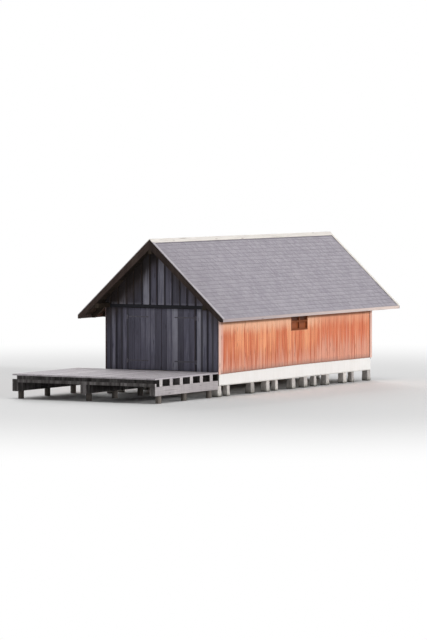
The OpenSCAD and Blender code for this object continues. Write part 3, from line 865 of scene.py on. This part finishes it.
def build_gables():
    frame_x = HALF_W - WALL_T
    door_edge = DOOR[1].x - MID_X + DOOR_CLEAR
    front = turned(X_AXIS, Y_AXIS, Z_AXIS, (MID_X, FRONT_Y, 0))
    back = turned(-X_AXIS, -Y_AXIS, Z_AXIS, (MID_X, BACK_Y, 0))
    left, right = (-frame_x, -FRAME_IN), (FRAME_IN, frame_x)
    beside = [left, (-FRAME_IN, -door_edge), (door_edge, FRAME_IN), right]
    whole = [left, (-FRAME_IN, FRAME_IN), right]
    for node, meshes in (("front_gable", gable_runs(front, 123)), ("back_gable", gable_runs(back, 171)),
                         ("front_wall", lower_runs(front, beside, FOOT_FRONT, 190)),
                         ("back_wall", lower_runs(back, whole, BACK_FOOT, 241))):
        piece(node + "_boards", meshes, "gable_boards", node)


LEDGE_H = 0.14


def build_doors():
    """The leaves: upright boards between the same edges as the frame's leaves, nailed to their ledges."""
    for side, seed in (("left", 465), ("right", 512)):
        low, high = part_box(side + "_door")
        foot, head = (corner.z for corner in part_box(side + "_ledges"))
        place = turned(X_AXIS, Y_AXIS, Z_AXIS, (low.x, low.y, 0))
        boards = board_run(place, (0.0, high.x - low.x), (low.z, high.z), DOOR_WIDTHS, "gable_boards", seed,
                           thickness=high.y - low.y, gap=0.008, chamfer=0.004, uneven=0.002, warp=0.0,
                           nail_low=foot + LEDGE_H / 2, nail_rows=3, nail_step=(head - foot - LEDGE_H) / 2)
        piece(side + "_door_boards", [boards], "gable_boards", side + "_door", side + "_leaf")


# The deck's joists: how many, and how far the first and last are from its edges
JOISTS, FIRST_JOIST, LAST_JOIST = 6, 0.39, 0.48


def build_floors():
    """Deck boards and floor boards, laid along y over their joists. Some floor boards reach the doorway."""
    place = turned(X_AXIS, -Z_AXIS, Y_AXIS, (DECK[0].x, 0, DECK[1].z))
    deck = board_run(place, (0.0, DECK[1].x - DECK[0].x), (DECK[0].y, DECK[1].y), DECK_WIDTHS, "deck_wood", 401,
                     thickness=DECK[1].z - DECK[0].z, gap=0.008, chamfer=0.005,
                     nail_low=DECK[0].y + FIRST_JOIST, nail_rows=JOISTS,
                     nail_step=(DECK[1].y - LAST_JOIST - DECK[0].y - FIRST_JOIST) / (JOISTS - 1))
    piece("deck_planks", [deck], "deck_wood", "deck_boards")
    floor_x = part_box("end_plinths")[1].x - MID_X
    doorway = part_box("gable_posts")[1].x - MID_X - POST
    inner, far = FRAME[0].y + POST, FRAME[1].y - POST
    parts = []
    for half, heights, rows, seed in ((floor_x, (inner, far), 8, 431), (doorway, (FLOOR[0].y, inner), 0, 433)):
        place = turned(X_AXIS, -Z_AXIS, Y_AXIS, (MID_X - half, 0, FLOOR[1].z))
        parts.append(board_run(place, (0.0, 2 * half), heights, FLOOR_WIDTHS, "floor_wood", seed,
                               thickness=FLOOR[1].z - FLOOR[0].z, gap=0.003, uneven=0.0015,
                               nail_low=inner + 0.1, nail_step=1.5, nail_rows=rows))
    piece("floor_planks", parts, "floor_wood", "floor_boards")


# Roof

SHINGLE_DEPTH = 0.022
SHINGLE_W = 0.12
COURSE = 0.185
# How far the first course stays behind the faces of the eave boards
EAVE_BACK = 0.006


def build_roof():
    """On each side soffit boards on the rafters, and courses of shingles over them."""
    boarded = ROOF_END_X / math.cos(PITCH)
    eave_x = EAVE_X - EAVE_BACK
    rise = eave_x / math.cos(PITCH)
    first_y, last_y = ROOF[0].y, ROOF[1].y
    length = last_y - first_y
    for side, sign, seed in (("right", 1, 503), ("left", -1, 521)):
        out = Vector((sign * math.sin(PITCH), 0, math.cos(PITCH)))
        up = Vector((-sign * math.cos(PITCH), 0, math.sin(PITCH)))
        low = Vector((MID_X + sign * ROOF_END_X, 0, APEX_Z - SLOPE * ROOF_END_X))
        high = Vector((MID_X, 0, APEX_Z))
        start = (low if sign > 0 else high) - out * ROOF_T
        boarding = board_run(turned(up * sign, out, Y_AXIS, start), (0.0, boarded), (first_y, last_y),
                             SOFFIT_WIDTHS, "soffit", seed, thickness=ROOF_T - SHINGLE_DEPTH, chamfer=0.003,
                             uneven=0.0, warp=0.0)
        eave = Vector((MID_X + sign * eave_x, first_y if sign > 0 else last_y, APEX_Z - SLOPE * eave_x))
        courses = grown(COURSES, length=length, rise=rise, course=COURSE, butt=SHINGLE_DEPTH,
                        rows=math.ceil(rise / COURSE), in_a_row=round(length / SHINGLE_W), seed=541 + sign,
                        shingle=FINISHES["roof"])
        courses.transform(turned(Y_AXIS * sign, up, out, eave - out * SHINGLE_DEPTH))
        piece(side + "_soffit_boards", [boarding], "frame_timber")
        piece(side + "_shingles", [courses], "roof", side + "_roof")


# Timbers, plinths and piers: the frame's own solids with worn edges, and the grain along each of them

OUTER_SKIN = 0.03
WELD = 1e-5
# Faces that meet at less than the first angle are one face, and those at more than the second have an arris
FLAT, SHARP = math.radians(1), math.radians(25)
# A rough solid stays flat this near to its top and foot
LEVEL_END = 0.002


def islands(bm):
    """The faces of each separate solid. They come in no fixed order, so what draws lots sorts them first."""
    left = set(bm.faces)
    while left:
        stack = [left.pop()]
        found = []
        while stack:
            face = stack.pop()
            found.append(face)
            for near in (other for edge in face.edges for other in edge.link_faces):
                if near in left:
                    left.discard(near)
                    stack.append(near)
        yield found


def set_grain(bm, rng, parted):
    """Stores a tone for each solid, each corner's place along its length, and which faces look out sideways."""
    at = bm.loops.layers.float_vector.new("grain_at")
    tone = bm.loops.layers.float.new("tone")
    outer = bm.loops.layers.float.new("outer")
    low_x = min(v.co.x for v in bm.verts) + OUTER_SKIN
    high_x = max(v.co.x for v in bm.verts) - OUTER_SKIN
    bm.normal_update()
    for faces in sorted(islands(bm), key=lambda solid: min(tuple(v.co) for f in solid for v in f.verts)):
        groups = [faces]
        if parted:
            groups = [[f for f in faces if (f.calc_center_median().x > MID_X) == right]
                      for right in (True, False)]
        for group in filter(None, groups):
            points = np.array(sorted(tuple(v.co) for f in group for v in f.verts))
            centre = points.mean(0)
            axes = np.linalg.eigh(np.cov((points - centre).T))[1][:, ::-1]
            shade = rng.random()
            shift = Vector((rng.uniform(0, 40), rng.uniform(0, 9), rng.uniform(0, 9)))
            turn = Matrix(axes.T.tolist())
            for face in group:
                x = face.calc_center_median().x
                out = face.normal.x > 0.5 and x > high_x or face.normal.x < -0.5 and x < low_x
                for loop in face.loops:
                    loop[at] = turn @ (loop.vert.co - Vector(centre)) + shift
                    loop[tone] = shade
                    loop[outer] = float(out)


def roughen(bm, node, seed, wander):
    """Moves the faces in and out a little, by up to about the wander."""
    low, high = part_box(node)
    moves = {}
    for v in bm.verts:
        if low.z + LEVEL_END <= v.co.z <= high.z - LEVEL_END:
            spot = v.co + Vector((seed, 0, 0))
            out = noise.noise(spot * 9.0) * 0.6 + noise.noise(spot * 23.0) * 0.5 - 0.35
            moves[v] = v.normal * out * wander
    for v, move in moves.items():
        v.co += move


def worn(node, finish, edge, seed, parted=False, cuts=0, wander=0.0):
    """A copy of a frame node with its arrises taken off, its finish, and its faces moved if it wanders.

    A parted one is cut in its middle, where the grain turns.
    """
    bm = bmesh.new()
    bm.from_mesh(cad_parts[node].data)
    bmesh.ops.remove_doubles(bm, verts=bm.verts, dist=WELD)
    bmesh.ops.dissolve_limit(bm, angle_limit=FLAT, verts=bm.verts, edges=bm.edges)
    sharp = [e for e in bm.edges if len(e.link_faces) == 2 and e.calc_face_angle() > SHARP]
    bmesh.ops.bevel(bm, geom=sharp, offset=edge, segments=1, affect="EDGES", clamp_overlap=True)
    if parted:
        parts = bm.verts[:] + bm.edges[:] + bm.faces[:]
        bmesh.ops.bisect_plane(bm, geom=parts, plane_co=(MID_X, 0, 0), plane_no=X_AXIS)
    if cuts:
        long_edges = [e for e in bm.edges if e.calc_length() > 6 * edge]
        bmesh.ops.subdivide_edges(bm, edges=long_edges, cuts=cuts, use_grid_fill=True)
    bmesh.ops.triangulate(bm, faces=[f for f in bm.faces if len(f.verts) > 4])
    if wander:
        roughen(bm, node, seed, wander)
    set_grain(bm, random.Random(seed), parted)
    mesh = bpy.data.meshes.new(node)
    bm.to_mesh(mesh)
    bm.free()
    mesh.materials.append(FINISHES[finish])
    return mesh


# Finish and width of the worn edge, and the nodes that have them. Their order gives the seeds
TIMBERS = [
    ("frame_timber", 0.004, ["floor_bearers", "floor_joists"]),
    ("frame_timber", 0.005, ["wall_posts", "gable_posts"]),
    ("frame_timber", 0.004, ["wall_rails", "wall_braces"]),
    ("soffit", 0.005, ["wall_plates"]),
    ("frame_timber", 0.005, ["tie_beams"]),
    ("frame_timber", 0.004, ["king_posts"]),
    ("soffit", 0.005, ["ridge_beam"]),
    ("soffit", 0.004, ["right_rafters", "left_rafters"]),
    ("head_wood", 0.003, ["head_board"]),
    ("corner_board", 0.003, ["corner_boards"]),
    ("window_wood", 0.004, ["windows"]),
    ("roof_trim", 0.003, ["ridge_cap"]),
    ("verge_wood", 0.003, ["verge_boards"]),
    ("verge_strip", 0.003, ["verge_strips"]),
    ("eave_trim", 0.004, ["eave_boards"]),
    ("deck_beam", 0.006, ["deck_joists"]),
    ("deck_beam", 0.008, ["deck_beams"]),
    ("deck_post", 0.006, ["deck_posts"]),
    ("frame_timber", 0.003, ["left_ledges", "right_ledges"]),
]
# The record's slots of the finishes that have no slot of their own name
SLOT_OF = {"soffit": "frame_timber", "head_wood": "verge_wood", "verge_strip": "roof_trim",
           "eave_trim": "roof_trim", "deck_beam": "deck_wood", "deck_post": "deck_wood"}
TIMBER_SEED, PLINTH_SEED, PIER_SEED = 600, 700, 720
PLINTH_EDGE, PIER_EDGE = 0.012, 0.02
PIER_WANDER = 0.02
BODY_OF = {"left_ledges": "left_leaf", "right_ledges": "right_leaf"}


def build_timbers():
    rows = [(node, finish, edge) for finish, edge, nodes in TIMBERS for node in nodes]
    for seed, (node, finish, edge) in enumerate(rows, TIMBER_SEED):
        mesh = worn(node, finish, edge, seed, parted=node == "verge_boards")
        piece(node + "_worn", [mesh], SLOT_OF.get(finish, finish), node, BODY_OF.get(node, "building"))


def build_base():
    """Plinths and piers, with hand-made unevenness."""
    for seed, node in enumerate(("right_plinth", "left_plinth", "end_plinths"), PLINTH_SEED):
        piece(node + "_painted", [worn(node, "plinth", PLINTH_EDGE, seed, cuts=3)], "plinth", node)
    for seed, node in enumerate(("right_piers", "left_piers", "cross_piers"), PIER_SEED):
        mesh = worn(node, "pier", PIER_EDGE, seed, cuts=6, wander=PIER_WANDER)
        piece(node + "_rough", [mesh], "pier", node)


def dress_rest():
    """The frame's own pieces that stay, with their finishes."""
    for node in ("window_glass", "door_pins", "left_straps", "right_straps"):
        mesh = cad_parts[node].data
        mesh.materials.clear()
        mesh.materials.append(FINISHES.get(node, FINISHES["iron"]))


STRAP_H, STRAP_T = 0.045, 0.006
STRAP_BOLTS, BOLT_STEP, FIRST_BOLT = 4, 0.2, 0.05
HINGE_PLATE_W = 0.07
BOLT_R, BOLT_RISE = 0.011, 0.006


def bolt_heads(name, spots, body):
    points = bpy.data.meshes.new("spots")
    points.from_pydata(spots, [], [])
    heads = grown(BOLT_HEADS, points, radius=BOLT_R, height=BOLT_RISE, iron=FINISHES["iron"])
    piece(name, [heads], "iron", body=body)


def build_bolts():
    """Bolt heads along each strap, and two on each hinge plate."""
    rise = BOLT_RISE / 2
    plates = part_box("door_pins")
    plate_spots = []
    for side, sign in (("left", -1), ("right", 1)):
        low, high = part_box(side + "_straps")
        far = low.x if sign > 0 else high.x
        rows = (low.z + STRAP_H / 2, high.z - STRAP_H / 2)
        face = DOOR[0].y - STRAP_T
        spots = [(far + sign * (FIRST_BOLT + i * BOLT_STEP), face - rise, z)
                 for z in rows for i in range(STRAP_BOLTS)]
        bolt_heads(side + "_strap_bolts", spots, side + "_leaf")
        edge = plates[1].x if sign > 0 else plates[0].x
        plate_spots += [(edge - sign * HINGE_PLATE_W / 2, FRONT_Y - STRAP_T - rise, z + step)
                        for z in rows for step in (-STRAP_H, STRAP_H)]
    bolt_heads("hinge_plate_bolts", plate_spots, "building")


# Studio: a pale floor that fades into the white background, soft light and the camera

WHITE = (1, 1, 1, 1)
FLOOR_SHADE = (0.82, 0.82, 0.82, 1)
FLOOR_R = 70.0
# The floor lies this far under the water line, so that it doesn't meet the feet of the piers
FLOOR_DROP = 0.002
FADE_START, FADE_END = 13.0, 34.0
WORLD_LIGHT = 0.3
# Each light: where it comes from, how strong it is, and how wide in degrees
LIGHTS = {"key": ((0.97, 0.03, 0.21), 1.5, 8.0), "top": ((0.2, 0.0, 0.98), 0.95, 40.0),
          "back_fill": ((-0.62, 0.66, 0.42), 1.1, 30.0)}


def build_world():
    """Soft light from all round, and white for what looks straight at it, also in a mirror or through glass."""
    world = bpy.data.worlds.new("studio")
    bpy.context.scene.world = world
    world.use_nodes = True
    m = Maker(world.node_tree)
    camera, glossy, through = m.add("ShaderNodeLightPath", out=("Is Camera Ray", "Is Glossy Ray",
                                                                "Is Transmission Ray"))
    background = world.node_tree.nodes["Background"]
    background.inputs["Color"].default_value = WHITE
    seen = m.high(m.high(camera, glossy), through)
    m.feed(background.inputs["Strength"], seen * (1.0 - WORLD_LIGHT) + WORLD_LIGHT)


def build_floor():
    bm = bmesh.new()
    bmesh.ops.create_circle(bm, cap_ends=True, segments=96, radius=FLOOR_R)
    mesh = bpy.data.meshes.new("floor")
    bm.to_mesh(mesh)
    bm.free()
    mesh.transform(Matrix.Translation((0, 0, -FLOOR_DROP)))
    floor = linked("floor", mesh)
    m = Finish("pale_floor", specular=0.1)
    m.feed(m.shader.inputs["Base Color"], FLOOR_SHADE)
    m.feed(m.shader.inputs["Roughness"], 0.9)
    glow = m.add("ShaderNodeEmission", {"Color": WHITE})
    reach = m.add("ShaderNodeVectorMath", {0: m.place}, "Value", operation="LENGTH")
    share = m.fade(reach, FADE_START, FADE_END)
    mixed = m.add("ShaderNodeMixShader", {0: share, 1: Value(m, m.shader.outputs[0]), 2: glow})
    m.feed(m.tree.nodes["Material Output"].inputs["Surface"], mixed)
    mesh.materials.append(m.material)


def build_lights():
    for name, (comes_from, strength, wide) in LIGHTS.items():
        data = bpy.data.lights.new(name, "SUN")
        data.energy = strength
        data.angle = math.radians(wide)
        linked(name, data).rotation_euler = Vector(comes_from).to_track_quat("Z", "Y").to_euler()


# The photograph was taken from far away with a long lens. The camera stands where it stood and looks at the
# middle of the boathouse through a longer one, so that the boathouse fills the frame.
CAMERA_AT = Vector((71.18, -122.69, 8.877))
LOOKS_UP = 0.45
PHOTO_FOCAL_PX = 1249.0
CLOSER = 3.15
FRAME_LONG_PX = 640
SENSOR = 36.0


def build_camera():
    data = bpy.data.cameras.new("camera")
    data.sensor_width = SENSOR
    data.lens = PHOTO_FOCAL_PX * CLOSER / FRAME_LONG_PX * SENSOR
    data.clip_end = 600.0
    camera = linked("camera", data)
    low, high = cad_bounds
    target = Vector(((low.x + high.x) / 2, (low.y + high.y) / 2, high.z * LOOKS_UP))
    camera.location = CAMERA_AT
    camera.rotation_euler = (target - CAMERA_AT).to_track_quat("-Z", "Y").to_euler()
    bpy.context.scene.camera = camera


build_camera()
build_world()
build_floor()
build_lights()
build_side_walls()
build_gables()
build_doors()
build_floors()
build_roof()
build_timbers()
build_base()
dress_rest()
build_bolts()

bpy.context.scene.view_settings.view_transform = "Standard"
